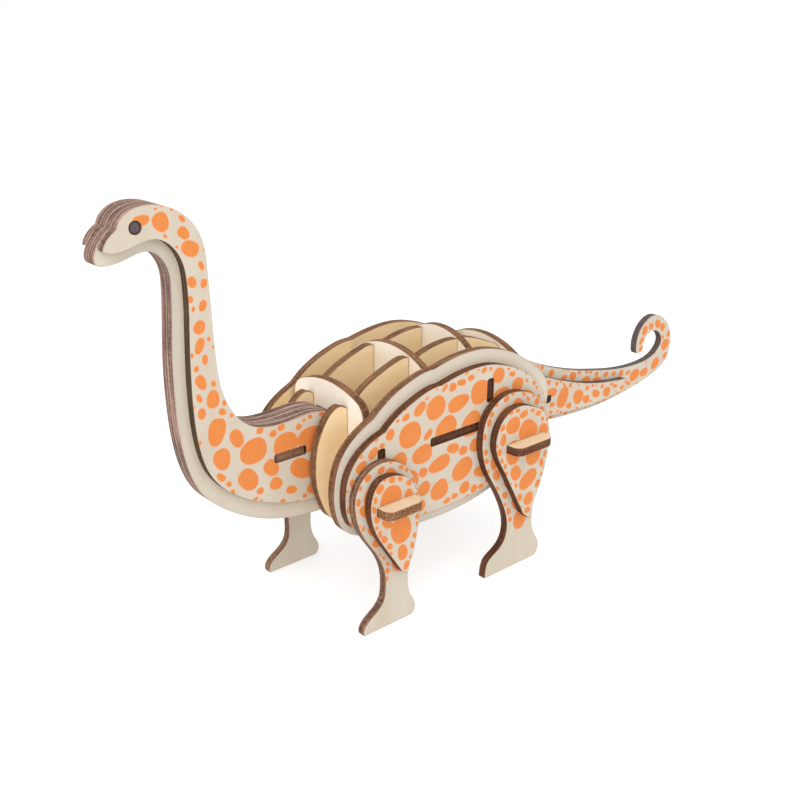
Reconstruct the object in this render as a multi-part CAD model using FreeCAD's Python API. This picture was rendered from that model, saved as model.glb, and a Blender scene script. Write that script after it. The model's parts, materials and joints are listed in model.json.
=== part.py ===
"""A slot-together jigsaw model of a long-necked dinosaur, cut from 3 mm birch plywood (millimetres).

Every piece is a flat plate. The profiles of the standing plates are drawn in the side view: x runs back
from the tip of the front toes, z runs up from the table, and y is across the animal, with its left
flank at -y. The finished model is then moved along x so that its origin lies on the table under the
middle of its length. The head points to -x.
"""

import FreeCAD, Part
import os
from FreeCAD import Vector

# Driving dimensions
SHEET = 3.0              # plywood thickness, the same for every piece
FIT = 0.05               # clearance on each side of a plate in its slot
SLOT_END = 0.7           # extra slot length past each end of a tab
SLOT_CORNER = 0.9        # corner radius of a slot
SNUG_END = 0.15          # the same for the leg keys, which fill their slots
SNUG_CORNER = 0.3
FORK_ROOM = 0.7          # room between a leg key and the end of the fork that slides over it

RIB_IN = 7.5             # inner face of the two long ribs, from the mid-plane
FLANK_IN = 19.5          # inner face of the inner flank panels; the outer layers stack on it
OUTER_FLANK_IN = FLANK_IN + SHEET
LEG_IN = OUTER_FLANK_IN + SHEET
THIGH_IN = LEG_IN + SHEET
TAB_REACH = LEG_IN - 0.8             # tabs stop short of the outer flank's face
KEY_REACH = THIGH_IN + SHEET + 5.5   # the leg keys stick out past the thighs
KEY_CORNER = 3.2

# Flat plates that lie level: front end, back end, underside
FRONT_KEY = (3.2, 18.7, 43.8)
HIND_KEY = (61.6, 80.0, 48.7)
FLOOR = (31.7, 56.0, 57.7)
NECK_KEY = (-16.5, -5.7, 59.2)
TAIL_KEY = (105.1, 115.1, 46.3)
SHORT_KEY_INSET = 0.1    # the neck and tail keys end this far inside the faces they join

NECK_END = 24.0          # where the neck layers stop inside the body
TAIL_START = 63.0        # where the tail layers start inside the body

EYE_CENTRE = (-57.6, 138.6)
EYE_RADIUS = 1.85
EYE_DEPTH = 0.3

# Cross bulkheads: front face x, crown height, crown radius, shoulder radius, foot height and the height
# at which each one laps the ribs. Some carry a pair of tabs, or a notch for the neck or the tail. The
# front one is narrower than the space between the flanks.
BULKHEADS = {
    "bulkhead_front": dict(x=8.43, half_width=18.2, crown=79.2, bend=36.0, shoulder=6.0, foot=46.8,
                           lap=62.0, tab=(50.7, 62.3), notch=(6.1, 68.95), open_centre=True),
    "bulkhead_chest": dict(x=34.6, crown=86.4, bend=32.0, shoulder=2.0, foot=60.7, lap=72.0),
    "bulkhead_loin": dict(x=57.0, crown=88.4, bend=24.0, shoulder=2.0, foot=56.0, lap=70.0,
                          tab=(67.4, 74.5)),
    "bulkhead_rear": dict(x=78.1, crown=81.8, bend=33.0, shoulder=2.0, foot=51.7, lap=66.0,
                          notch=(4.6, 72.0)),
}


# ---------------------------------------------------------------- drawing and cutting helpers

def curve(points):
    """A smooth edge through (x, z) points of the side view, or a straight cut when there are two."""
    places = [Vector(x, 0, z) for x, z in points]
    if len(places) == 2:
        return Part.LineSegment(*places).toShape()
    spline = Part.BSplineCurve()
    spline.interpolate(places)
    return spline.toShape()


def closed_profile(*runs):
    """A closed wire. Each run goes on from the last point of the run before, and the first from the last.

    Runs meet in corners. A profile with one run is smooth all the way round.
    """
    if len(runs) == 1:
        loop = Part.BSplineCurve()
        loop.interpolate(Points=[Vector(x, 0, z) for x, z in runs[0]], PeriodicFlag=True)
        return Part.Wire([loop.toShape()])
    chained = []
    start = runs[-1][-1]
    for run in runs:
        chained.append(curve([start] + list(run)))
        start = run[-1]
    return Part.Wire(chained)


def plate(profile, inner_face):
    """A sheet standing lengthwise on the left flank: its faces are at y = -inner_face and one sheet out."""
    solid = Part.Face(profile).extrude(Vector(0, -SHEET, 0))
    solid.translate(Vector(0, -inner_face, 0))
    return solid


def mirrored(shape):
    """The same piece on the right flank."""
    return shape.mirror(Vector(0, 0, 0), Vector(0, 1, 0))


def block(x, y, z):
    """A box from three (low, high) pairs."""
    corner = Vector(x[0], y[0], z[0])
    return Part.makeBox(x[1] - x[0], y[1] - y[0], z[1] - z[0], corner)


def edges_along(shape, axis):
    """The straight edges of a shape that run along one axis (0, 1 or 2)."""
    found = []
    for edge in shape.Edges:
        ends = [vertex.Point for vertex in edge.Vertexes]
        if len(ends) == 2:
            step = ends[1] - ends[0]
            if abs(abs(step[axis]) - step.Length) < 1e-6:
                found.append(edge)
    return found


def upright_slot(front, low, high):
    """A closed slot across the flanks for a bulkhead's tab, with room past its ends and round corners."""
    across = (-KEY_REACH, KEY_REACH)
    hole = block((front - FIT, front + SHEET + FIT), across, (low - SLOT_END, high + SLOT_END))
    return hole.makeFillet(SLOT_CORNER, edges_along(hole, 1))


def level_slot(extents):
    """A closed slot right across the model for a plate that lies level."""
    front, back, underside = extents
    snug = extents in (FRONT_KEY, HIND_KEY)
    room, corner = (SNUG_END, SNUG_CORNER) if snug else (SLOT_END, SLOT_CORNER)
    across = (-KEY_REACH, KEY_REACH)
    hole = block((front - room, back + room), across, (underside - FIT, underside + SHEET + FIT))
    return hole.makeFillet(corner, edges_along(hole, 1))


def level_plate(extents, reach, corner):
    """A plate that lies level across the model, with its four corners rounded."""
    front, back, underside = extents
    sheet = block((front, back), (-reach, reach), (underside, underside + SHEET))
    return sheet.makeFillet(corner, edges_along(sheet, 2))


# ---------------------------------------------------------------- head and neck

CROWN_OF_HEAD = [(-62.3, 140.3), (-60.1, 142.5), (-56.3, 143.9), (-51.2, 143.9), (-46.2, 142.3),
                 (-41.6, 139.0), (-38.6, 134.6), (-37.2, 129.5), (-36.7, 121.0), (-36.3, 111.0),
                 (-36.0, 102.0), (-35.5, 94.5), (-34.3, 87.3), (-31.8, 81.3), (-28.2, 76.5),
                 (-23.0, 73.2), (-16.5, 72.0), (-10.0, 72.1), (-3.5, 72.5), (1.5, 72.0), (7.5, 69.0)]
NECK_TENON_TOP = [(12.0, 68.2), (NECK_END, 66.0)]
KEY_TOP = FRONT_KEY[2] + SHEET


def neck_side():
    """One of the two outer neck layers. Its lower edge stops above the jaw and the throat."""
    upper_lip = [(-66.4, 135.6), (-64.9, 137.3), (-63.0, 138.7)]
    jaw_and_throat = [(-6.0, 43.1), (-15.8, 45.2), (-26.9, 49.9), (-35.5, 56.2), (-40.4, 62.9),
                      (-43.1, 71.5), (-44.2, 81.0), (-44.4, 93.0), (-44.0, 105.0), (-43.6, 113.0),
                      (-43.6, 121.0), (-44.3, 126.5), (-46.0, 130.4), (-48.8, 133.4), (-52.0, 134.8),
                      (-55.7, 134.5), (-60.4, 133.2), (-64.0, 132.7), (-67.2, 133.6)]
    end = [(NECK_END, KEY_TOP + FIT)]
    over_key = [(FRONT_KEY[0] - FORK_ROOM, KEY_TOP + FIT)]
    front_of_key = [(FRONT_KEY[0] - FORK_ROOM, 42.9)]
    profile = closed_profile(upper_lip, CROWN_OF_HEAD, NECK_TENON_TOP, end, over_key, front_of_key,
                             jaw_and_throat)
    eye = Part.makeCylinder(EYE_RADIUS, EYE_DEPTH, Vector(EYE_CENTRE[0], -2 * SHEET, EYE_CENTRE[1]),
                            Vector(0, 1, 0))
    return plate(profile, SHEET).cut(eye).cut(level_slot(NECK_KEY))


def neck_core():
    """One of the two middle neck layers, which carry the lower jaw and run lower along the throat."""
    muzzle_and_throat = [(-65.3, 137.0), (-66.9, 135.0), (-68.0, 133.2), (-68.5, 131.3), (-68.0, 129.6),
                         (-65.7, 129.0), (-61.5, 129.4), (-57.0, 130.7), (-53.5, 131.2), (-50.9, 130.3),
                         (-48.6, 127.9), (-47.2, 124.5), (-46.9, 119.0), (-47.4, 110.0), (-48.1, 100.0),
                         (-48.3, 90.0), (-48.0, 81.0), (-46.8, 70.0), (-44.5, 61.2), (-40.6, 54.0),
                         (-34.8, 48.4), (-27.0, 43.2), (-19.0, 39.5), (-10.0, 37.0), (0.0, 35.8),
                         (NECK_END, 36.0)]
    fork_mouth = [(NECK_END, FRONT_KEY[2] - FIT)]
    fork = [(FRONT_KEY[0] - FORK_ROOM, FRONT_KEY[2] - FIT)]
    fork_end = [(FRONT_KEY[0] - FORK_ROOM, KEY_TOP + FIT)]
    fork_top = [(NECK_END, KEY_TOP + FIT)]
    profile = closed_profile(muzzle_and_throat, fork_mouth, fork, fork_end, fork_top,
                             NECK_TENON_TOP[-1:], NECK_TENON_TOP[-2::-1] + CROWN_OF_HEAD[-1:],
                             CROWN_OF_HEAD[-2::-1] + [(-63.0, 138.7)])
    return plate(profile, 0.0).cut(level_slot(NECK_KEY))


# ---------------------------------------------------------------- tail

HIND_KEY_TOP = HIND_KEY[2] + SHEET
TAIL_FORK = [(TAIL_START, HIND_KEY_TOP + FIT)]


def tail_fork():
    """The open slot at the front of the tail layers that slides over the hind leg key."""
    return block((TAIL_START - 1, HIND_KEY[1] + FORK_ROOM), (-KEY_REACH, KEY_REACH),
                 (HIND_KEY[2] - FIT, HIND_KEY_TOP + FIT))


def tail_core():
    """The middle tail layer, which ends in a curl."""
    back_of_tail = [(84.0, 71.5), (94.0, 69.4), (102.0, 66.4), (110.3, 62.8), (118.0, 59.7), (127.0, 56.7),
                    (136.6, 54.0), (146.5, 51.8), (156.7, 49.8), (167.0, 48.5), (176.3, 48.2),
                    (184.0, 49.1), (189.5, 51.7), (191.8, 55.6), (189.6, 59.5), (185.2, 61.2),
                    (181.2, 59.8), (178.9, 56.6)]
    tip = [(177.6, 53.2), (175.4, 52.8), (173.9, 54.6)]
    outside_of_curl = [(173.8, 58.3), (175.5, 63.0), (178.8, 66.4), (183.0, 68.1), (187.6, 67.8),
                       (192.4, 65.4), (196.6, 61.2), (199.1, 55.3), (198.9, 49.9), (195.9, 45.1),
                       (191.0, 42.1), (184.5, 40.0), (177.6, 38.6), (165.2, 36.8), (150.0, 35.6),
                       (135.0, 35.8), (119.6, 36.9), (100.0, 39.4), (80.0, 42.3), (TAIL_START, 44.2)]
    profile = closed_profile([(TAIL_START, 71.5)], back_of_tail[:1], back_of_tail[1:], tip, outside_of_curl)
    return plate(profile, -SHEET / 2).cut(tail_fork()).cut(level_slot(TAIL_KEY))


def tail_side():
    """One of the two shorter layers that thicken the root of the tail."""
    upper_edge = [(78.0, 69.5), (90.0, 66.6), (103.0, 61.3), (116.2, 56.0), (127.0, 52.2), (139.9, 48.5),
                  (151.0, 46.4), (163.6, 45.0)]
    tip = [(165.2, 43.8), (164.2, 41.6), (160.0, 39.9)]
    lower_edge = [(150.0, 38.8), (135.0, 38.8), (120.0, 39.8), (100.0, 42.6), (80.0, 45.4),
                  (TAIL_START, 46.8)]
    profile = closed_profile([(TAIL_START, 69.5)], upper_edge[:1], upper_edge[1:], tip, lower_edge)
    return plate(profile, SHEET / 2).cut(tail_fork()).cut(level_slot(TAIL_KEY))


# ---------------------------------------------------------------- body

def rib():
    """A long rib. Its back rises in one low hump per bay between the slots for the bulkheads."""
    stations = [BULKHEADS[name]["x"] for name in BULKHEADS]
    chest = [(0.5, 36.5), (-2.4, 41.5), (-4.4, 48.0), (-4.8, 56.0), (-3.5, 63.6), (-1.0, 69.0),
             (1.6, 72.3), (4.4, 73.9), (5.8, 74.0), (7.2, 73.4), (stations[0] + FIT, 72.9)]
    chest_bay = [(stations[0] + SHEET, 74.4), (18.7, 79.5), (25.5, 82.4), (29.5, 83.8), (32.3, 84.4),
                 (stations[1] + FIT, 84.0)]
    back_bay = [(stations[1] + SHEET, 83.0), (43.5, 85.0), (49.5, 86.1), (54.0, 86.3),
                (stations[2] + FIT, 86.0)]
    rump_bay = [(stations[2] + SHEET, 86.1), (66.0, 84.5), (72.0, 82.2), (76.6, 79.9),
                (stations[3] + FIT, 78.2)]
    rump = [(stations[3] + SHEET, 76.8), (85.4, 72.2), (88.2, 67.0), (88.4, 60.0), (86.0, 52.0), (81.0, 44.5),
            (73.0, 39.0), (62.0, 36.0), (45.0, 34.4), (25.0, 34.0), (10.0, 34.2), (3.0, 35.0)]
    profile = closed_profile(chest, chest_bay[:1], chest_bay[1:], back_bay[:1], back_bay[1:],
                             rump_bay[:1], rump_bay[1:], rump[:1], rump[1:])
    shape = plate(profile, RIB_IN)
    for bulkhead in BULKHEADS.values():
        shape = shape.cut(block((bulkhead["x"] - FIT, bulkhead["x"] + SHEET + FIT),
                                (-KEY_REACH, KEY_REACH), (bulkhead["lap"], bulkhead["crown"])))
    for extents in (FRONT_KEY, HIND_KEY, FLOOR):
        shape = shape.cut(level_slot(extents))
    return shape


def cut_flank_slots(shape):
    """Opens a flank panel for the two leg keys, the floor plate and the tabs of the bulkheads."""
    for extents in (FRONT_KEY, HIND_KEY, FLOOR):
        shape = shape.cut(level_slot(extents))
    for bulkhead in BULKHEADS.values():
        if "tab" in bulkhead:
            shape = shape.cut(upright_slot(bulkhead["x"], *bulkhead["tab"]))
    return shape


def inner_flank():
    """The larger flank panel. Its back has a small step at the front and chest bulkheads."""
    chest = [(-6.2, 44.0), (-6.9, 50.0), (-6.0, 57.0), (-3.1, 63.5), (1.0, 67.7), (5.6, 70.6), (9.3, 72.4)]
    chest_bay = [(11.9, 74.6), (15.6, 77.2), (20.2, 79.6), (24.6, 81.3), (29.5, 82.7), (34.8, 83.1)]
    back = [(38.5, 84.0), (44.0, 85.0), (51.0, 85.6), (58.0, 85.2), (65.0, 83.6), (72.5, 80.8),
            (80.0, 76.4), (85.8, 72.0), (90.1, 67.6), (92.0, 62.0), (91.0, 55.0), (86.5, 46.5),
            (79.0, 39.0), (70.0, 34.0), (60.0, 30.9), (48.0, 29.2), (35.0, 29.0), (22.0, 30.0),
            (10.0, 31.8), (1.5, 34.3), (-4.3, 39.1)]
    return cut_flank_slots(plate(closed_profile(chest, chest_bay, back), FLANK_IN))


def outer_flank():
    """The smaller flank panel, laid on the inner one, with the same steps in its back."""
    chest = [(-4.3, 44.5), (-4.7, 50.5), (-3.6, 56.6), (-0.4, 61.7), (4.6, 65.6), (11.6, 68.3)]
    chest_bay = [(13.6, 70.1), (17.6, 72.8), (22.0, 74.9), (27.0, 76.8), (31.6, 78.0), (35.6, 78.2)]
    back = [(38.2, 78.8), (43.5, 79.9), (50.6, 80.6), (58.0, 80.3), (65.2, 78.5), (72.5, 75.5),
            (79.5, 71.0), (84.7, 65.5), (87.5, 59.0), (86.5, 51.0), (81.5, 43.5), (73.0, 38.2),
            (62.0, 35.4), (48.0, 34.0), (33.0, 33.7), (18.0, 34.4), (6.0, 36.2), (-2.3, 39.6)]
    return cut_flank_slots(plate(closed_profile(chest, chest_bay, back), OUTER_FLANK_IN))


def bulkhead(x, crown, bend, shoulder, foot, lap, half_width=FLANK_IN, tab=None, notch=None,
             open_centre=False):
    """A cross plate with an arched top, lapped over the ribs from above."""
    edge_height = crown - bend + (bend ** 2 - half_width ** 2) ** 0.5
    left_foot, right_foot = Vector(x, -half_width, foot), Vector(x, half_width, foot)
    left_top, right_top = Vector(x, -half_width, edge_height), Vector(x, half_width, edge_height)
    outline = Part.Wire([Part.LineSegment(left_foot, left_top).toShape(),
                         Part.Arc(left_top, Vector(x, 0, crown), right_top).toShape(),
                         Part.LineSegment(right_top, right_foot).toShape(),
                         Part.LineSegment(right_foot, left_foot).toShape()])
    sheet = Part.Face(outline).extrude(Vector(SHEET, 0, 0))
    top_corners = [edge for edge in edges_along(sheet, 0) if edge.CenterOfMass.z > edge_height - 1]
    sheet = sheet.makeFillet(shoulder, top_corners)
    through = (x - 1, x + SHEET + 1)
    for side in (-1, 1):
        rib_faces = sorted((side * (RIB_IN - FIT), side * (RIB_IN + SHEET + FIT)))
        sheet = sheet.cut(block(through, rib_faces, (foot - 1, lap)))
        if tab:
            tab_span = sorted((side * (half_width - 1), side * TAB_REACH))
            sheet = sheet.fuse(block((x, x + SHEET), tab_span, tab))
    if open_centre:
        sheet = sheet.cut(block(through, (-RIB_IN, RIB_IN), (foot - 1, lap)))
    if notch:
        notch_side, notch_top = notch
        sheet = sheet.cut(block(through, (-notch_side, notch_side), (foot - 1, notch_top)))
    return sheet.removeSplitter()


# ---------------------------------------------------------------- legs

def front_leg():
    shin = [(-0.2, 1.6), (1.4, 4.2), (5.2, 6.8), (8.1, 9.8), (9.1, 15.0), (8.5, 21.2), (5.9, 27.4),
            (1.7, 33.7), (-1.5, 39.5), (-3.2, 45.5), (-3.2, 50.3), (-1.2, 55.2), (2.7, 58.6), (7.3, 59.9),
            (12.0, 59.3), (16.7, 56.6), (20.6, 51.9), (22.9, 46.0), (23.4, 39.5), (22.7, 32.0),
            (20.7, 24.3), (19.1, 18.5), (18.9, 12.5), (20.0, 8.0), (22.0, 4.0), (22.0, 1.5), (19.8, 0.0)]
    return plate(closed_profile(shin, [(0.0, 0.0)]), LEG_IN).cut(level_slot(FRONT_KEY))


def front_thigh():
    outline = [(17.3, 22.4), (18.7, 26.4), (19.9, 31.2), (20.7, 37.0), (20.8, 43.0), (19.4, 49.0),
               (16.6, 52.9), (12.4, 55.3), (7.8, 56.1), (3.9, 55.0), (1.4, 51.5), (0.5, 46.6),
               (1.5, 40.8), (4.3, 34.8), (8.1, 28.9), (11.5, 23.7), (13.8, 20.2)]
    point = [(16.2, 19.0)]
    return plate(closed_profile(outline, point), THIGH_IN).cut(level_slot(FRONT_KEY))


def hind_leg():
    shin = [(56.2, 2.4), (57.3, 6.0), (61.3, 8.7), (65.0, 11.6), (66.6, 16.5), (65.9, 22.0), (63.2, 28.6),
            (59.0, 36.0), (55.3, 42.3), (52.9, 49.2), (52.5, 56.0), (54.1, 62.3), (58.0, 66.5),
            (63.4, 68.8), (69.3, 68.8), (75.3, 66.9), (81.0, 63.0), (84.7, 58.2), (86.4, 52.0),
            (86.3, 44.5), (84.6, 35.8), (82.0, 27.0), (80.1, 20.0), (80.3, 13.8), (82.2, 8.8),
            (84.4, 4.6), (84.0, 1.6), (81.8, 0.0)]
    return plate(closed_profile(shin, [(56.0, 0.0)]), LEG_IN).cut(level_slot(HIND_KEY))


def hind_thigh():
    outline = [(76.6, 23.0), (77.9, 26.6), (79.8, 30.9), (82.0, 36.9), (83.5, 43.5), (83.9, 50.0),
               (82.4, 56.0), (78.9, 60.4), (74.0, 63.0), (68.6, 64.6), (63.2, 64.0), (59.0, 61.4),
               (56.6, 57.1), (56.0, 52.2), (57.5, 47.5), (61.2, 41.0), (65.0, 34.2), (68.6, 27.7),
               (71.7, 22.0)]
    point = [(75.4, 18.9)]
    return plate(closed_profile(outline, point), THIGH_IN).cut(level_slot(HIND_KEY))


# ---------------------------------------------------------------- the whole model

def build_pieces():
    """Every piece by name, in the side view's own position."""
    pieces = {}
    pairs = {
        "rib": rib, "panel_inner": inner_flank, "panel_outer": outer_flank, "neck_core": neck_core,
        "neck_side": neck_side, "tail_side": tail_side, "front_leg": front_leg, "front_thigh": front_thigh,
        "hind_leg": hind_leg, "hind_thigh": hind_thigh,
    }
    for name, make in pairs.items():
        left = make()
        pieces[name + "_left"] = left
        pieces[name + "_right"] = mirrored(left)
    for name, shape in BULKHEADS.items():
        pieces[name] = bulkhead(**shape)
    pieces["tail_core"] = tail_core()
    pieces["front_leg_key"] = level_plate(FRONT_KEY, KEY_REACH, KEY_CORNER)
    pieces["hind_leg_key"] = level_plate(HIND_KEY, KEY_REACH, KEY_CORNER)
    pieces["floor_plate"] = level_plate(FLOOR, TAB_REACH, SNUG_CORNER)
    pieces["neck_key"] = level_plate(NECK_KEY, 2 * SHEET - SHORT_KEY_INSET, SNUG_CORNER)
    pieces["tail_key"] = level_plate(TAIL_KEY, 1.5 * SHEET - SHORT_KEY_INSET, SNUG_CORNER)
    return pieces


def main():
    pieces = build_pieces()
    whole = Part.makeCompound(list(pieces.values())).optimalBoundingBox(False)
    middle = (whole.XMin + whole.XMax) / 2
    os.makedirs("parts", exist_ok=True)
    for name, shape in pieces.items():
        shape.translate(Vector(-middle, 0, 0))
        shape.exportStep("parts/" + name + ".step")
        print(name, "valid" if shape.isValid() else "BROKEN", len(shape.Solids), round(shape.Volume, 1))
    print("front toes are", round(middle, 3), "mm ahead of the origin, z from", round(whole.ZMin, 3),
          "to", round(whole.ZMax, 3), "length", round(whole.XLength, 2), "width", round(whole.YLength, 2))


main()
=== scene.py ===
"""Looks for the slot-together plywood dinosaur: laser-burnt edges, birch faces and the printed spots.

Each CAD plate is a flat sheet of plywood. Its outline is read from the frame, and the same sheet is built
again with a fine arris round every edge, a scorched rim on both faces and, on the outer layers, printed spots
on the side that shows. Sheets are worked out in millimetres, and `as_object` turns them into metres. The
camera, the floor and the lights are placed in metres.
"""

import json
import math

import bmesh
import bpy
import numpy as np
from mathutils import Matrix, Vector
from mathutils.geometry import delaunay_2d_cdt


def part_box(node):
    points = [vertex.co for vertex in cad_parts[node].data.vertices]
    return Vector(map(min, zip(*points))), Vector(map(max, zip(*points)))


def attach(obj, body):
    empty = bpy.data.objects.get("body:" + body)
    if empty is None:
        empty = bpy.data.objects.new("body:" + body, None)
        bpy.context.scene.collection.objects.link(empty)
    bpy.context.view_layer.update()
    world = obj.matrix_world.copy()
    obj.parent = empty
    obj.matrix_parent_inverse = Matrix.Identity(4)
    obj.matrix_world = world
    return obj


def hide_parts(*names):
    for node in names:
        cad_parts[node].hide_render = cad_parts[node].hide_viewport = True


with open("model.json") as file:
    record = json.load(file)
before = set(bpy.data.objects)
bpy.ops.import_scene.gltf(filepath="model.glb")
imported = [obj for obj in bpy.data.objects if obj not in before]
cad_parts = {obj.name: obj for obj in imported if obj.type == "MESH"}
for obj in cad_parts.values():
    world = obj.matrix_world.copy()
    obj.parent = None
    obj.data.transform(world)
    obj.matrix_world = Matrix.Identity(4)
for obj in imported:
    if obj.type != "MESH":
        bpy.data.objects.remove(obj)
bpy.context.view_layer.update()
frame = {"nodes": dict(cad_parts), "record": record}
MM = 0.001

SHEET = 3.0                  # thickness of the plywood
ARRIS = 0.07                 # width of the flat broken along every cut edge
SCORCH = 0.3                 # how far the laser's browning reaches in from the edge
SMOKE_REACH = 1.7            # how far its grey smoke stain reaches on the plain sheets
EYE_DEPTH = 0.3              # depth of the engraved eyes
SLOT_SHADE_FROM = 20.5            # beyond this distance from the mid-plane the tab ends of the bulkheads and the floor plate, which sit in slots, are painted darker as shade
THROAT_FRONT = -120.0        # behind this x the outer neck layers' forward edges, under the throat, are painted darker as shade
THROAT_SLOPE = 0.15          # an edge that falls this steeply on its way round faces forward
SAME_PLACE = 1e-4            # a point this near a level lies on it
SAME_HOLE = 0.5              # outlines on the two faces are one hole if their centres are this near
SAME_HOLE_AREA = 1.0         # and their areas differ by less than this
MITRE_LIMIT = 0.35           # the smaller it is, the farther an inset's sharp corners may run out
SCORCH_SPACING, SMOKE_SPACING = 0.25, 0.6    # between the points of those inset outlines
LONGEST_WALK = 60            # points that spots may add between two corners of an outline
POINTS_AT_ONCE = 400         # measured together against an outline
EYE_RINGS = ((0.35, 0.8), (0.55, 0.0))       # how far in from the eye's rim, and how scorched there
EYE_WALL_DEPTH = 0.3         # where in the sheet's thickness the eye's wall takes its colour
GRAIN_STEP, GRAIN_STEPS = 0.37, 29           # each sheet takes its figure from its own part of the wood
SHARPEST_SMOOTH = 35         # degrees: a sharper corner than this is shaded as a corner
INK_BLEED = 0.3              # half the width of a printed spot's soft edge
SPOT_POINTS = 32             # round a spot's outline
SQUARENESS = 2.25            # 2 is an ellipse; the printed spots are a little squarer
FACE, BACK, EDGE, SHADED_EDGE, ENGRAVED = range(5)  # every sheet's materials, in order; the fourth is a cut edge painted darker as shade

# ---------------------------------------------------------------- artwork
# Which sheets are printed, and how their spots are strewn. Lengths are millimetres and angles are degrees.

PRINTED = ("neck_side", "panel_outer", "front_leg", "front_thigh", "hind_leg", "hind_thigh", "tail_core",
           "tail_side")
PLAIN_FACE = -122.0          # no spots forward of this x
PLAIN_FEET = 18.0            # nor below this z
SPOT_TRIES = 1600            # places tried on each sheet
SPOT_BASE = 1.5              # a full spot's long axis at the very edge of the sheet
SPOT_GROWTH = 1.1            # and how much longer it gets with each millimetre from the edge
SPOT_LARGEST = 9.5
SPOT_SHARE = (0.4, 1.05)     # each spot's long axis as a share of a full one
SLENDERNESS = (0.55, 0.95)   # short axis over long axis
SPOT_SWING = (-30, 30)       # how far the long axis turns from the direction of the nearest edge
SPOT_GAP = 0.7               # wood left between two spots, if they were round
SMOKED = ("panel_inner", "neck_core")        # the plain sheets that show a smoke stain


def stem(node):
    """A node's name without its side."""
    return node.removesuffix("_left").removesuffix("_right")


# ---------------------------------------------------------------- reading a plate's outline from the frame

def thickness_axis(node):
    """The axis (0, 1 or 2) across the sheet: the one where the plate is one sheet thick."""
    low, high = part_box(node)
    extents = [(high[axis] - low[axis]) / MM for axis in range(3)]
    return min(range(3), key=lambda axis: abs(extents[axis] - SHEET))


def in_plane(axis):
    """The two axes of the sheet's plane."""
    return [other for other in range(3) if other != axis]


def open_edges(faces):
    """Each corner's neighbours along the edges that belong to one face only."""
    uses = {}
    for corners in faces:
        for one, other in zip(corners, corners[1:] + corners[:1]):
            if one != other:
                pair = frozenset((one, other))
                uses[pair] = uses.get(pair, 0) + 1
    beside = {}
    for one, other in (tuple(pair) for pair, count in uses.items() if count == 1):
        beside.setdefault(one, []).append(other)
        beside.setdefault(other, []).append(one)
    return beside


def cap_loops(mesh, axis, level):
    """The closed outlines, in millimetres, of the flat face that lies at this level across the sheet."""
    number, points = {}, []
    across = in_plane(axis)

    def point_at(vertex):
        place = mesh.vertices[vertex].co / MM
        key = (round(place[across[0]], 4), round(place[across[1]], 4))
        if key not in number:
            number[key] = len(points)
            points.append(key)
        return number[key]

    level_polygons = (polygon for polygon in mesh.polygons if all(
        abs(mesh.vertices[v].co[axis] / MM - level) < SAME_PLACE for v in polygon.vertices))
    beside = open_edges([point_at(v) for v in polygon.vertices] for polygon in level_polygons)
    loops = []
    while beside:
        start = next(iter(beside))
        loop, here = [start], start
        while beside.get(here):
            following = beside[here].pop()
            beside[following].remove(here)
            if following == start:
                break
            loop.append(following)
            here = following
        for used in loop:
            if not beside.get(used):
                beside.pop(used, None)
        if len(loop) > 2:
            loops.append(np.array([points[k] for k in loop]))
    return loops


def signed_area(loop):
    """The area inside an outline, negative where it runs clockwise."""
    following = np.roll(loop, -1, axis=0)
    return float(np.sum(loop[:, 0] * following[:, 1] - following[:, 0] * loop[:, 1])) / 2


def facing_inwards(loops):
    """Turns the outer outline anticlockwise and the holes clockwise, so that wood is always on the left."""
    largest = max(range(len(loops)), key=lambda k: abs(signed_area(loops[k])))
    facing = []
    for k, loop in enumerate(loops):
        anticlockwise = signed_area(loop) > 0
        facing.append(loop if anticlockwise == (k == largest) else loop[::-1].copy())
    return facing


def inset(loop, distance):
    """The outline moved into the wood by a distance, with mitred corners."""
    along = np.roll(loop, -1, axis=0) - loop
    along /= np.maximum(np.linalg.norm(along, axis=1, keepdims=True), 1e-9)
    left = np.stack([-along[:, 1], along[:, 0]], axis=1)
    mitre = left + np.roll(left, 1, axis=0)
    scale = np.maximum(np.sum(mitre * mitre, axis=1, keepdims=True) / 2, MITRE_LIMIT)
    return loop + mitre * (distance / scale)


def thinned(loop, spacing):
    """The outline with no two neighbouring points nearer than the spacing."""
    kept = [loop[0]]
    for point in loop[1:]:
        if np.linalg.norm(point - kept[-1]) >= spacing:
            kept.append(point)
    return np.array(kept)


# ---------------------------------------------------------------- printed spots

def spot_shape(centre, half_axes, lean):
    """A spot's centre, half axes, turn and the two small wobbles that keep it from being a perfect oval."""
    egg, dent = 0.09 * math.sin(2.4 * centre[0]), 0.05 * math.cos(5.1 * centre[1])
    return dict(centre=centre, half=half_axes, turn=math.radians(lean), egg=egg, dent=dent)


def edge_direction(points, outline):
    """The direction, in degrees, of the stretch of outline that is nearest to each point."""
    step = 0.5
    slope = [nearest_edge(points + offset, [outline]) - nearest_edge(points - offset, [outline])
             for offset in np.eye(2) * step]
    return np.degrees(np.arctan2(slope[0], -slope[1]))


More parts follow.
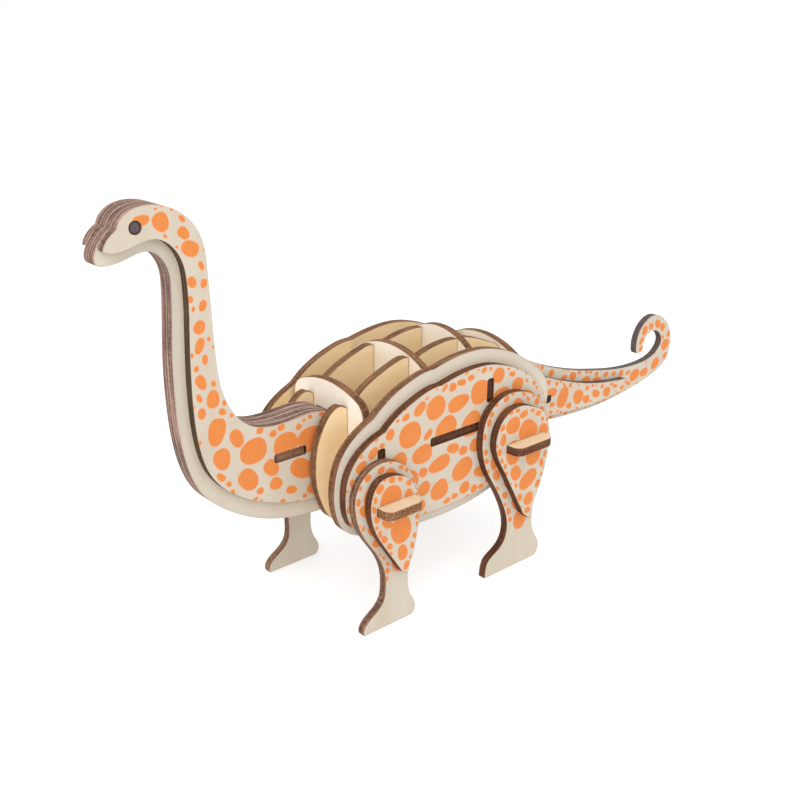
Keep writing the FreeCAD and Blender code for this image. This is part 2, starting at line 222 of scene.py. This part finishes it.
def strewn_spots(kind, loops, pockets):
    """Spots strewn over a sheet from its own seed: larger where it is wider, and kept apart."""
    draw = np.random.default_rng(sum(ord(letter) for letter in kind))
    outer = max(loops, key=lambda loop: abs(signed_area(loop)))
    centres = draw.uniform(outer.min(axis=0), outer.max(axis=0), (SPOT_TRIES, 2))
    shares, slenderness, swings = (draw.uniform(*limits, SPOT_TRIES)
                                   for limits in (SPOT_SHARE, SLENDERNESS, SPOT_SWING))
    full = np.minimum(SPOT_BASE + SPOT_GROWTH * nearest_edge(centres, [outer]), SPOT_LARGEST)
    half_axes = np.stack([full * shares, full * shares * slenderness], axis=1) / 2
    leans = edge_direction(centres, outer) + swings
    usable = inside(centres, loops + pockets) & (centres[:, 0] > PLAIN_FACE) & (centres[:, 1] > PLAIN_FEET)
    kept = []
    for k in sorted(np.flatnonzero(usable), key=lambda k: -half_axes[k, 0]):
        room = half_axes[k].mean() + SPOT_GAP
        if all(np.linalg.norm(centres[k] - other["centre"]) > room + other["half"].mean() for other in kept):
            kept.append(spot_shape(centres[k], half_axes[k], leans[k]))
    return kept


def radius_factor(shape, angle):
    """How far out a spot reaches in the direction of an angle, as a share of its oval."""
    powers = np.abs(np.cos(angle)) ** SQUARENESS + np.abs(np.sin(angle)) ** SQUARENESS
    squarish = powers ** (-1 / SQUARENESS)
    return squarish * (1 + shape["egg"] * np.cos(angle) + shape["dent"] * np.cos(3 * angle))


def turned(points, angle):
    """The points turned about the origin by an angle in radians."""
    c, s = math.cos(angle), math.sin(angle)
    return points @ np.array([[c, s], [-s, c]])


def spot_ring(shape, outwards):
    """A spot's outline, with its half axes made longer by a distance."""
    angle = np.linspace(0, 2 * math.pi, SPOT_POINTS, endpoint=False)
    reach = radius_factor(shape, angle)[:, None]
    ring = np.stack([np.cos(angle), np.sin(angle)], axis=1) * reach * (shape["half"] + outwards)
    return turned(ring, shape["turn"]) + shape["centre"]


def ink_at(points, shapes):
    """How much ink a point holds: 1 well inside a spot, 0 outside, and in between in its soft edge."""
    ink = np.zeros(len(points))
    for shape in shapes:
        local = turned(points - shape["centre"], -shape["turn"])
        scaled = local / shape["half"]
        distance = np.linalg.norm(local, axis=1)
        share = np.linalg.norm(scaled, axis=1) / radius_factor(shape, np.arctan2(scaled[:, 1], scaled[:, 0]))
        outside = distance * (1 - 1 / np.maximum(share, 1e-6))
        ink = np.maximum(ink, np.clip(0.5 - outside / (2 * INK_BLEED), 0, 1))
    return ink


# ---------------------------------------------------------------- building one sheet

def nearest_edge(points, loops):
    """Distance from each point to the nearest outline."""
    best = np.full(len(points), 1e9)
    for loop in loops:
        start, along = loop, np.roll(loop, -1, axis=0) - loop
        length = np.maximum(np.sum(along * along, axis=1), 1e-12)
        for first in range(0, len(points), POINTS_AT_ONCE):
            some = points[first:first + POINTS_AT_ONCE]
            gap = some[:, None, :] - start[None]
            place = np.clip(np.sum(gap * along[None], axis=2) / length[None], 0, 1)
            distance = np.linalg.norm(gap - place[..., None] * along[None], axis=2).min(axis=1)
            best[first:first + POINTS_AT_ONCE] = np.minimum(best[first:first + POINTS_AT_ONCE], distance)
    return best


def inside(points, loops):
    """Whether each point is inside the wood, by counting crossings of all the outlines."""
    crossings = np.zeros(len(points), int)
    for loop in loops:
        following = np.roll(loop, -1, axis=0)
        for (x0, y0), (x1, y1) in zip(loop, following):
            if y0 == y1:
                continue
            spans = (points[:, 1] >= min(y0, y1)) & (points[:, 1] < max(y0, y1))
            at = x0 + (points[:, 1] - y0) * (x1 - x0) / (y1 - y0)
            crossings += spans & (at > points[:, 0])
    return crossings % 2 == 1


class Sheet:
    """Collects the vertices and faces of one plate, with its colour masks and its flat wood coordinates."""

    def __init__(self, axis, shaded_tab_ends, shaded_throat):
        self.axis = axis
        self.shaded_tab_ends = shaded_tab_ends
        self.shaded_throat = shaded_throat
        self.across = in_plane(axis)
        self.places, self.char, self.ink, self.smoke = [], [], [], []
        self.faces, self.flat, self.material = [], [], []

    def add_points(self, points, level, char, ink=None, smoke=None):
        first = len(self.places)
        for k, point in enumerate(points):
            place = [0.0, 0.0, 0.0]
            place[self.axis] = level
            place[self.across[0]], place[self.across[1]] = float(point[0]), float(point[1])
            self.places.append(place)
            self.char.append(float(char[k]) if hasattr(char, "__len__") else char)
            self.ink.append(float(ink[k]) if ink is not None else 0.0)
            self.smoke.append(float(smoke[k]) if smoke is not None else 0.0)
        return first

    def add_face(self, corners, flat, material):
        # tab ends that sit in slots take the darker edge as painted shade
        if self.shaded_tab_ends and all(abs(self.places[c][1]) > SLOT_SHADE_FROM for c in corners):
            material = SHADED_EDGE
        self.faces.append(corners)
        self.flat.append(flat)
        self.material.append(material)


def add_cap(sheet, loops, level, shapes, smoked, material):
    """The flat face at one level. Returns each outline's boundary as runs of points between corners."""
    rims = [inset(loop, ARRIS) for loop in loops]
    constraints = list(rims)
    constraints += [thinned(inset(loop, SCORCH), SCORCH_SPACING) for loop in loops]
    if smoked:
        constraints.append(thinned(inset(loops[0], SMOKE_REACH), SMOKE_SPACING))
    for shape in shapes:
        constraints += [spot_ring(shape, -INK_BLEED), spot_ring(shape, INK_BLEED)]
    points, edges = [], []
    for ring in constraints:
        first = len(points)
        points += [Vector((float(x), float(y))) for x, y in ring]
        edges += [(first + k, first + (k + 1) % len(ring)) for k in range(len(ring))]
    made, _, triangles, origins, _, _ = delaunay_2d_cdt(points, edges, [], 0, 1e-5)
    place = np.array([tuple(v) for v in made])
    triangles = np.array(triangles)
    kept = triangles[inside(place[triangles].mean(axis=1), rims)]
    char = np.clip(1 - nearest_edge(place, rims) / (SCORCH - ARRIS), 0, 1)
    smoke = np.clip(1 - nearest_edge(place, rims[:1]) / (SMOKE_REACH - ARRIS), 0, 1) * smoked
    first = sheet.add_points(place, level, char, ink_at(place, shapes), smoke)
    for corners in kept:
        sheet.add_face([int(first + c) for c in corners], [tuple(place[c]) for c in corners], material)
    made_from = {source: k for k, sources in enumerate(origins) for source in sources}
    beside = open_edges(kept.tolist())
    runs, start = [], 0
    for rim in rims:
        corners = [made_from[start + k] for k in range(len(rim))]
        runs.append([walk(beside, place, a, b, first) for a, b in zip(corners, corners[1:] + corners[:1])])
        start += len(rim)
    return runs


def walk(beside, place, start, end, first):
    """A face's boundary points from one outline corner to the next, with any that a spot's edge added."""
    path, here = [start], start
    while here != end and len(path) < LONGEST_WALK:
        aim = place[end] - place[here]
        choices = [k for k in beside.get(here, []) if k not in path]
        if not choices:
            return [first + start, first + end]
        here = max(choices, key=lambda k: float(np.dot(place[k] - place[here], aim))
                   / max(float(np.linalg.norm(place[k] - place[here])), 1e-9))
        path.append(here)
    return [first + k for k in path]


def wall_material(sheet, start, end):
    """The material of one stretch of cut edge, with the throat's forward edges painted darker as shade.
    Outlines run anticlockwise, so a forward edge goes down.
    """
    falls = start[1] - end[1] > THROAT_SLOPE * np.linalg.norm(end - start)
    return SHADED_EDGE if sheet.shaded_throat and falls and start[0] > THROAT_FRONT else EDGE


def add_walls(sheet, loops, low_level, high_level, low_runs, high_runs):
    """The cut edge between the two faces, with an arris at each side. Wood coordinates run along the cut."""
    for loop, low_run, high_run in zip(loops, low_runs, high_runs):
        count = len(loop)
        low_first = sheet.add_points(loop, low_level + ARRIS, 1.0)
        high_first = sheet.add_points(loop, high_level - ARRIS, 1.0)
        lengths = np.linalg.norm(np.roll(loop, -1, axis=0) - loop, axis=1)
        start = np.concatenate([[0], np.cumsum(lengths)])
        for k in range(count):
            following = (k + 1) % count
            a, b = float(start[k]), float(start[k + 1])
            material = wall_material(sheet, loop[k], loop[following])
            sheet.add_face([low_first + k, low_first + following, high_first + following, high_first + k],
                           [(a, ARRIS), (b, ARRIS), (b, SHEET - ARRIS), (a, SHEET - ARRIS)], material)
            for run, ring_first, face_depth, ring_depth in ((low_run[k], low_first, 0.0, ARRIS),
                                                            (high_run[k], high_first, SHEET, SHEET - ARRIS)):
                along = [a + (b - a) * i / (len(run) - 1) for i in range(len(run))]
                corners = [ring_first + following, ring_first + k] + run
                flat = [(b, ring_depth), (a, ring_depth)] + [(s, face_depth) for s in along]
                sheet.add_face(corners, flat, material)


def add_pocket(sheet, loop, floor_level, runs):
    """A shallow engraved pocket: its wall and its floor, scorched round the rim."""
    wall = sheet.add_points(loop, floor_level, 1.0)
    count = len(loop)
    for k in range(count):
        following = (k + 1) % count
        run = runs[k]
        sheet.add_face([wall + following, wall + k] + run, [(0.0, EYE_WALL_DEPTH)] * (2 + len(run)), EDGE)
    ring = wall
    for distance, char in EYE_RINGS:
        inner = sheet.add_points(inset(loop, -distance), floor_level, char)
        for k in range(count):
            following = (k + 1) % count
            corners = [ring + k, ring + following, inner + following, inner + k]
            sheet.add_face(corners, [tuple(sheet_flat(sheet, c)) for c in corners], ENGRAVED)
        ring = inner
    corners = [ring + k for k in range(count)]
    sheet.add_face(corners, [tuple(sheet_flat(sheet, c)) for c in corners], ENGRAVED)


def sheet_flat(sheet, vertex):
    place = sheet.places[vertex]
    return place[sheet.across[0]], place[sheet.across[1]]


def same_hole(one, other):
    """Whether two outlines, one on each face, belong to a hole that runs right through."""
    return (np.linalg.norm(one.mean(axis=0) - other.mean(axis=0)) < SAME_HOLE
            and abs(signed_area(one) - signed_area(other)) < SAME_HOLE_AREA)


def build_sheet(node, materials):
    """The plate of one CAD node, rebuilt with arrises, scorched rims and its print, riding on its body."""
    source = frame["nodes"][node].data
    axis = thickness_axis(node)
    low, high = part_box(node)
    levels = [low[axis] / MM, high[axis] / MM]
    capped = [facing_inwards(cap_loops(source, axis, level)) for level in levels]
    richer = 0 if len(capped[0]) >= len(capped[1]) else 1
    loops, pockets = [], []
    for loop in capped[richer]:
        through = any(same_hole(loop, other) for other in capped[1 - richer])
        (loops if through else pockets).append(loop)
    shapes = strewn_spots(stem(node), loops, pockets) if stem(node) in PRINTED else []
    outer_sides = {"left": [0], "right": [1]}.get(node.rsplit("_", 1)[-1], [0, 1])
    sheet = Sheet(axis, stem(node).startswith(("bulkhead", "floor")), stem(node) == "neck_side")
    runs = []
    for side, level in enumerate(levels):
        outside = side in outer_sides
        here = loops + (pockets if side == richer else [])
        runs.append(add_cap(sheet, here, level, shapes if outside else [], stem(node) in SMOKED,
                            FACE if outside else BACK))
    add_walls(sheet, loops, levels[0], levels[1], runs[0][:len(loops)], runs[1][:len(loops)])
    inwards = 1 if richer == 0 else -1
    for pocket, pocket_runs in zip(pockets, runs[richer][len(loops):]):
        add_pocket(sheet, pocket, levels[richer] + inwards * EYE_DEPTH, pocket_runs)
    piece = as_object(sheet, "ply_" + node, node)
    for material in materials:
        piece.data.materials.append(material)
    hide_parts(node)
    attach(piece, piece_body(node))


def piece_body(node):
    for body, members in frame["record"]["behaviour"]["bodies"].items():
        if node in members:
            return body
    raise KeyError(node)


def as_object(sheet, name, node):
    """The mesh object, with its colour masks, and wood coordinates that run along the sheet's length."""
    mesh = bpy.data.meshes.new(name)
    mesh.from_pydata([Vector(place) * MM for place in sheet.places], [], sheet.faces)
    mesh.update()
    for label, values in (("char", sheet.char), ("ink", sheet.ink), ("smoke", sheet.smoke)):
        layer = mesh.attributes.new(label, "FLOAT", "POINT")
        layer.data.foreach_set("value", values)
    low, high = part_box(node)
    lengths = [high[k] - low[k] for k in sheet.across]
    swap = lengths[1] > lengths[0]
    shift = GRAIN_STEP * (sum(ord(letter) for letter in node) % GRAIN_STEPS)
    layer = mesh.uv_layers.new(name="wood")
    at = 0
    for polygon, flat, material in zip(mesh.polygons, sheet.flat, sheet.material):
        polygon.material_index = material
        for u, v in flat:
            cut = material in (EDGE, SHADED_EDGE)
            if swap and not cut:
                u, v = v, u
            layer.data[at].uv = (u * MM + shift, v * MM + (0 if cut else shift))
            at += 1
    piece = bpy.data.objects.new(name, mesh)
    bpy.context.scene.collection.objects.link(piece)
    tidy_mesh(mesh)
    return piece


def tidy_mesh(mesh):
    """Removes unused points, turns all faces outwards, and shades curves smooth and corners sharp."""
    work = bmesh.new()
    work.from_mesh(mesh)
    loose = [vertex for vertex in work.verts if not vertex.link_faces]
    bmesh.ops.delete(work, geom=loose, context="VERTS")
    bmesh.ops.recalc_face_normals(work, faces=work.faces)
    work.to_mesh(mesh)
    work.free()
    mesh.polygons.foreach_set("use_smooth", [True] * len(mesh.polygons))
    mesh.set_sharp_from_angle(angle=math.radians(SHARPEST_SMOOTH))


# ---------------------------------------------------------------- materials

class Shader:
    """A small helper for wiring a procedural material."""

    def __init__(self, name):
        self.material = bpy.data.materials.new(name)
        self.material.use_nodes = True
        self.tree = self.material.node_tree
        self.surface = self.tree.nodes["Principled BSDF"]

    def node(self, kind, inputs=None, **settings):
        made = self.tree.nodes.new(kind)
        for name, value in settings.items():
            setattr(made, name, value)
        for name, value in (inputs or {}).items():
            if isinstance(value, bpy.types.NodeSocket):
                self.tree.links.new(value, made.inputs[name])
            else:
                made.inputs[name].default_value = value
        return made

    def mix(self, share, one, other):
        made = self.node("ShaderNodeMix", data_type="RGBA")
        sockets = {0: share, 6: one, 7: other}
        for index, value in sockets.items():
            if isinstance(value, bpy.types.NodeSocket):
                self.tree.links.new(value, made.inputs[index])
            else:
                made.inputs[index].default_value = (*value, 1.0) if index else value
        return made.outputs[2]

    def math(self, operation, one, other=0.0, clamp=False):
        made = self.node("ShaderNodeMath", operation=operation, use_clamp=clamp)
        for index, value in enumerate((one, other)):
            if isinstance(value, bpy.types.NodeSocket):
                self.tree.links.new(value, made.inputs[index])
            else:
                made.inputs[index].default_value = value
        return made.outputs[0]

    def remap(self, value, low, high, to_low=0.0, to_high=1.0):
        made = self.node("ShaderNodeMapRange", {"Value": value, "From Min": low, "From Max": high,
                                                "To Min": to_low, "To Max": to_high})
        return made.outputs[0]

    def wood_coordinates(self, scale_along, scale_across):
        coordinates = self.node("ShaderNodeUVMap", uv_map="wood").outputs["UV"]
        scale = (scale_along, scale_across, 1)
        return self.node("ShaderNodeMapping", {"Vector": coordinates, "Scale": scale}).outputs[0]

    def noise(self, vector, detail, roughness=0.5, distortion=0.0):
        return self.node("ShaderNodeTexNoise", {"Vector": vector, "Scale": 1.0, "Detail": detail,
                                                "Roughness": roughness, "Distortion": distortion}).outputs[0]

    def attribute(self, name):
        return self.node("ShaderNodeAttribute", attribute_name=name, attribute_type="GEOMETRY").outputs["Fac"]

    def bump(self, height, distance, strength):
        bump = self.node("ShaderNodeBump", {"Height": height, "Distance": distance, "Strength": strength})
        self.tree.links.new(bump.outputs[0], self.surface.inputs["Normal"])


ORANGE, ORANGE_DEEP, PEACH = (0.70, 0.235, 0.062), (0.64, 0.19, 0.045), (0.66, 0.43, 0.31)
SCORCH_TAN, SCORCH_BROWN = (0.42, 0.28, 0.17), (0.12, 0.065, 0.04)
SMOKE_GREY = (0.50, 0.47, 0.42)
GLUE_LINE, GLUE_AT, GLUE_HALF = (0.035, 0.02, 0.014), 0.19, 0.04     # places are shares of the thickness
EYE_DARK, EYE_PALE = (0.055, 0.036, 0.036), (0.16, 0.107, 0.108)
EYE_SCAN, EYE_RIM = (0.05, 0.034, 0.033), (0.018, 0.013, 0.011)


def birch_face(name, pale, warm, line, scorch_from=0.85):
    """Rotary-cut birch veneer: long soft figure, fine lines and pores, with its smoke, print and scorch."""
    shader = Shader(name)
    figure = shader.noise(shader.wood_coordinates(18, 120), detail=4, roughness=0.55, distortion=0.6)
    fine = shader.noise(shader.wood_coordinates(120, 2600), detail=3, roughness=0.6)
    pores = shader.noise(shader.wood_coordinates(420, 6500), detail=2, roughness=0.5)
    colour = shader.mix(shader.remap(figure, 0.34, 0.70), pale, warm)
    colour = shader.mix(shader.remap(fine, 0.50, 0.80, 0.0, 0.22), colour, line)
    colour = shader.mix(shader.remap(pores, 0.62, 0.74, 0.0, 0.22), colour, line)
    smoky = shader.math("MULTIPLY", shader.attribute("smoke"), shader.remap(figure, 0.3, 0.7, 0.35, 0.75))
    colour = shader.mix(smoky, colour, SMOKE_GREY)
    ink = shader.attribute("ink")
    printed = shader.mix(shader.remap(fine, 0.35, 0.75), ORANGE, ORANGE_DEEP)
    halo = shader.mix(shader.remap(ink, 0.42, 0.68), PEACH, printed)
    colour = shader.mix(shader.remap(ink, 0.0, 0.42), colour, halo)
    ragged = shader.math("ADD", shader.attribute("char"), shader.remap(fine, 0.3, 0.7, -0.16, 0.16))
    colour = shader.mix(shader.remap(ragged, 0.35, 0.95, 0.0, 0.55), colour, SCORCH_TAN)
    browned = shader.remap(ragged, scorch_from, scorch_from + 0.2, 0.0, 0.9)
    colour = shader.mix(browned, colour, SCORCH_BROWN)
    shader.tree.links.new(colour, shader.surface.inputs["Base Color"])
    rough = shader.remap(fine, 0.3, 0.7, 0.52, 0.68)
    shader.tree.links.new(rough, shader.surface.inputs["Roughness"])
    shader.surface.inputs["Specular IOR Level"].default_value = 0.15
    height = shader.math("ADD", shader.math("MULTIPLY", fine, 0.5), shader.math("MULTIPLY", pores, 0.5))
    shader.bump(height, 0.00012, 0.45)
    return shader.material


def burnt_edge(name, light, dark, rim=(0.36, 0.22, 0.15), rim_strength=0.45, flecks=0.45, streaks=0.3):
    """The laser-cut edge of plywood: brown char, specks of paler wood, glue lines and cut striations."""
    shader = Shader(name)
    coordinates = shader.node("ShaderNodeUVMap", uv_map="wood").outputs["UV"]
    depth = shader.node("ShaderNodeSeparateXYZ", {"Vector": coordinates}).outputs["Y"]
    depth = shader.math("MULTIPLY", depth, 1 / (SHEET * MM))
    from_middle = shader.math("ABSOLUTE", shader.math("SUBTRACT", depth, 0.5))
    striation = shader.noise(shader.wood_coordinates(1500, 160), detail=3, roughness=0.6)
    streak = shader.noise(shader.wood_coordinates(45, 950), detail=3, roughness=0.55)
    speckle = shader.noise(shader.wood_coordinates(1150, 1150), detail=4, roughness=0.75)
    patches = shader.noise(shader.wood_coordinates(110, 420), detail=3)
    lightness = shader.math("ADD", shader.remap(striation, 0.35, 0.72, 0.0, 0.25),
                            shader.remap(patches, 0.35, 0.7, -0.1, 0.2))
    lightness = shader.math("ADD", lightness, shader.remap(streak, 0.46, 0.62, 0.0, streaks))
    lightness = shader.math("ADD", lightness, shader.remap(speckle, 0.45, 0.66, 0.0, flecks), clamp=True)
    colour = shader.mix(lightness, dark, light)
    glue = shader.math("ABSOLUTE", shader.math("SUBTRACT", from_middle, GLUE_AT))
    colour = shader.mix(shader.remap(glue, 0.0, GLUE_HALF, 0.4, 0.0), colour, GLUE_LINE)
    # where the edge meets each face, a band of rim colour; a rim paler than the edge, as on the neck, is a
    # painted highlight along the arris
    near_face = shader.math("ADD", from_middle, shader.remap(speckle, 0.3, 0.7, -0.02, 0.02))
    at_rim = shader.remap(near_face, 0.44, 0.48, 0.0, rim_strength)
    colour = shader.mix(at_rim, colour, rim)
    shader.tree.links.new(colour, shader.surface.inputs["Base Color"])
    rough = shader.remap(speckle, 0.3, 0.7, 0.55, 0.78)
    shader.tree.links.new(rough, shader.surface.inputs["Roughness"])
    shader.surface.inputs["Specular IOR Level"].default_value = 0.1
    height = shader.math("ADD", shader.math("MULTIPLY", striation, 0.7),
                         shader.math("MULTIPLY", speckle, 0.3))
    shader.bump(height, 0.00025, 0.8)
    return shader.material


def engraved_wood():
    """The raster-engraved eye: grey-brown scorched grain with fine scan lines and a dark rim."""
    shader = Shader("engraved_eye")
    scan = shader.noise(shader.wood_coordinates(300, 5200), detail=1)
    speckle = shader.noise(shader.wood_coordinates(2600, 2600), detail=3)
    colour = shader.mix(shader.remap(speckle, 0.35, 0.7), EYE_DARK, EYE_PALE)
    colour = shader.mix(shader.remap(scan, 0.45, 0.6, 0.0, 0.35), colour, EYE_SCAN)
    dark_rim = shader.remap(shader.attribute("char"), 0.15, 0.6, 0.0, 0.97)
    colour = shader.mix(dark_rim, colour, EYE_RIM)
    shader.tree.links.new(colour, shader.surface.inputs["Base Color"])
    shader.surface.inputs["Roughness"].default_value = 0.8
    shader.bump(scan, 0.00015, 0.8)
    return shader.material


# ---------------------------------------------------------------- the whole model

def build_model():
    ivory = birch_face("birch_printed", (0.575, 0.51, 0.42), (0.53, 0.46, 0.36), (0.43, 0.35, 0.26))
    plain = birch_face("birch_plain", (0.64, 0.57, 0.465), (0.59, 0.51, 0.395), (0.48, 0.39, 0.29))
    # the ribs and the inner panels' inner faces: raw birch tone, partly painted light, brightened and warmed
    # for the bounce light inside the body
    honey = birch_face("birch_honey", (0.83, 0.65, 0.40), (0.77, 0.575, 0.33), (0.60, 0.42, 0.24),
                       scorch_from=0.4)
    # the bulkheads: partly their own pale birch, partly painted light on faces that look towards the lamp
    cream = birch_face("birch_cream", (0.92, 0.84, 0.72), (0.88, 0.78, 0.64), (0.74, 0.62, 0.48))
    key_top = birch_face("birch_key", (0.68, 0.545, 0.37), (0.62, 0.475, 0.30), (0.48, 0.34, 0.20))
    edges = {
        "warm": burnt_edge("burnt_edge_warm", (0.38, 0.19, 0.092), (0.080, 0.034, 0.018)),
        "dark": burnt_edge("burnt_edge_dark", (0.235, 0.098, 0.048), (0.056, 0.021, 0.011),
                           rim_strength=0.25),
        "grey": burnt_edge("burnt_edge_grey", (0.42, 0.26, 0.20), (0.074, 0.043, 0.034),
                           # its pale rim is a painted highlight between the neck's layers
                           rim=(0.58, 0.44, 0.37), rim_strength=0.85, flecks=0.3, streaks=0.7),
        "ash": burnt_edge("burnt_edge_ash", (0.22, 0.165, 0.155), (0.060, 0.044, 0.041),
                          rim=(0.36, 0.28, 0.26), rim_strength=0.4, flecks=0.35, streaks=0.3),
        "tan": burnt_edge("burnt_edge_tan", (0.38, 0.215, 0.14), (0.062, 0.030, 0.018), flecks=0.6),
        "flecked": burnt_edge("burnt_edge_flecked", (0.45, 0.215, 0.10), (0.075, 0.030, 0.014), flecks=0.7),
        "peg": burnt_edge("burnt_edge_peg", (0.38, 0.20, 0.115), (0.095, 0.042, 0.022),
                          rim=(0.030, 0.018, 0.012), rim_strength=0.9),
        # painted shade: the throat's forward edges, darker than the grey neck edge
        "throat": burnt_edge("burnt_edge_throat_shade", (0.15, 0.094, 0.054), (0.045, 0.028, 0.017),
                             rim=(0.30, 0.21, 0.15), rim_strength=0.3),
        # painted shade: the tab ends in their slots, darker than the warm edge
        "tab_shade": burnt_edge("burnt_edge_tab_shade", (0.19, 0.075, 0.036), (0.048, 0.021, 0.012),
                            rim_strength=0.0),
        "black": burnt_edge("burnt_edge_black", (0.06, 0.036, 0.028), (0.016, 0.010, 0.008),
                            rim_strength=0.0),
    }
    engraved = engraved_wood()
    for node in sorted(frame["nodes"]):
        kind = stem(node)
        face, edge, shade_edge = plain, edges["warm"], edges["tab_shade"]
        if kind in PRINTED:
            face = ivory
        elif kind == "rib":
            face = honey
        elif kind.startswith("bulkhead"):
            face = cream
        elif kind.endswith("_key"):
            face, edge = key_top, edges["flecked"]
        if kind in ("neck_core", "neck_side"):
            edge, shade_edge = edges["grey"], edges["throat"]
        elif kind in ("tail_core", "tail_side"):
            edge = edges["ash"]
        elif kind == "front_leg":
            edge = edges["tan"]
        elif kind in ("panel_outer", "front_thigh", "hind_thigh", "hind_leg", "hind_leg_key"):
            edge = edges["dark"]
        elif kind == "neck_key":
            edge = edges["peg"]
        elif kind == "tail_key":
            edge = edges["black"]
        back = honey if kind == "panel_inner" else face
        build_sheet(node, [face, back, edge, shade_edge, engraved])


# ---------------------------------------------------------------- camera, floor and light

CAMERA_TARGET = Vector((-0.0254, 0.0, 0.0646))
CAMERA_AZIMUTH, CAMERA_ELEVATION, CAMERA_ROLL = -41.4, 20.95, 0.33
CAMERA_DISTANCE = 0.3612
CAMERA_LENS = 46.69
FLOOR_HALF, FLOOR_DROP = 4.0, 0.0002


def add_camera():
    azimuth, elevation, roll = map(math.radians, (CAMERA_AZIMUTH, CAMERA_ELEVATION, CAMERA_ROLL))
    back = Vector((math.sin(azimuth) * math.cos(elevation), -math.cos(azimuth) * math.cos(elevation),
                   math.sin(elevation)))
    right = Vector((math.cos(azimuth), math.sin(azimuth), 0))
    up = back.cross(right)
    tilted_right = math.cos(roll) * right + math.sin(roll) * up
    tilted_up = -math.sin(roll) * right + math.cos(roll) * up
    camera = bpy.data.objects.new("camera", bpy.data.cameras.new("camera"))
    camera.data.lens = CAMERA_LENS
    camera.data.sensor_width = 36
    camera.data.clip_start, camera.data.clip_end = 0.01, 20
    rotation = Matrix((tilted_right, tilted_up, back)).transposed()
    camera.matrix_world = Matrix.Translation(CAMERA_TARGET + back * CAMERA_DISTANCE) @ rotation.to_4x4()
    bpy.context.scene.collection.objects.link(camera)
    bpy.context.scene.camera = camera


def add_floor():
    """A seamless white sweep, with a little light of its own so that it melts into the white behind it."""
    mesh = bpy.data.meshes.new("floor")
    corners = [(x * FLOOR_HALF, y * FLOOR_HALF, 0) for x, y in ((-1, -1), (1, -1), (1, 1), (-1, 1))]
    mesh.from_pydata(corners, [], [(0, 1, 2, 3)])
    floor = bpy.data.objects.new("floor", mesh)
    shader = Shader("floor")
    shader.surface.inputs["Base Color"].default_value = (0.5, 0.5, 0.5, 1)
    shader.surface.inputs["Roughness"].default_value = 0.9
    shader.surface.inputs["Specular IOR Level"].default_value = 0.0
    shader.surface.inputs["Emission Color"].default_value = (1, 1, 1, 1)
    shader.surface.inputs["Emission Strength"].default_value = 0.6
    mesh.materials.append(shader.material)
    bpy.context.scene.collection.objects.link(floor)
    floor.location.z = -FLOOR_DROP


def add_area_light(name, place, aim, size, power):
    light = bpy.data.lights.new(name, "AREA")
    light.shape = "SQUARE"
    light.size = size
    light.energy = power
    lamp = bpy.data.objects.new(name, light)
    lamp.location = place
    lamp.rotation_euler = (Vector(aim) - Vector(place)).to_track_quat("-Z", "Y").to_euler()
    bpy.context.scene.collection.objects.link(lamp)


def add_light():
    world = bpy.data.worlds.new("studio")
    world.use_nodes = True
    world.node_tree.nodes["Background"].inputs["Color"].default_value = (1, 1, 1, 1)
    world.node_tree.nodes["Background"].inputs["Strength"].default_value = 1.0
    bpy.context.scene.world = world
    add_area_light("key", (-1.1, -0.9, 1.2), (0, 0, 0.06), 1.0, 11)
    add_area_light("top", (-0.2, -0.4, 1.5), (0, 0, 0.06), 0.9, 5)
    bpy.context.scene.view_settings.view_transform = "Standard"


build_model()
add_camera()
add_floor()
add_light()
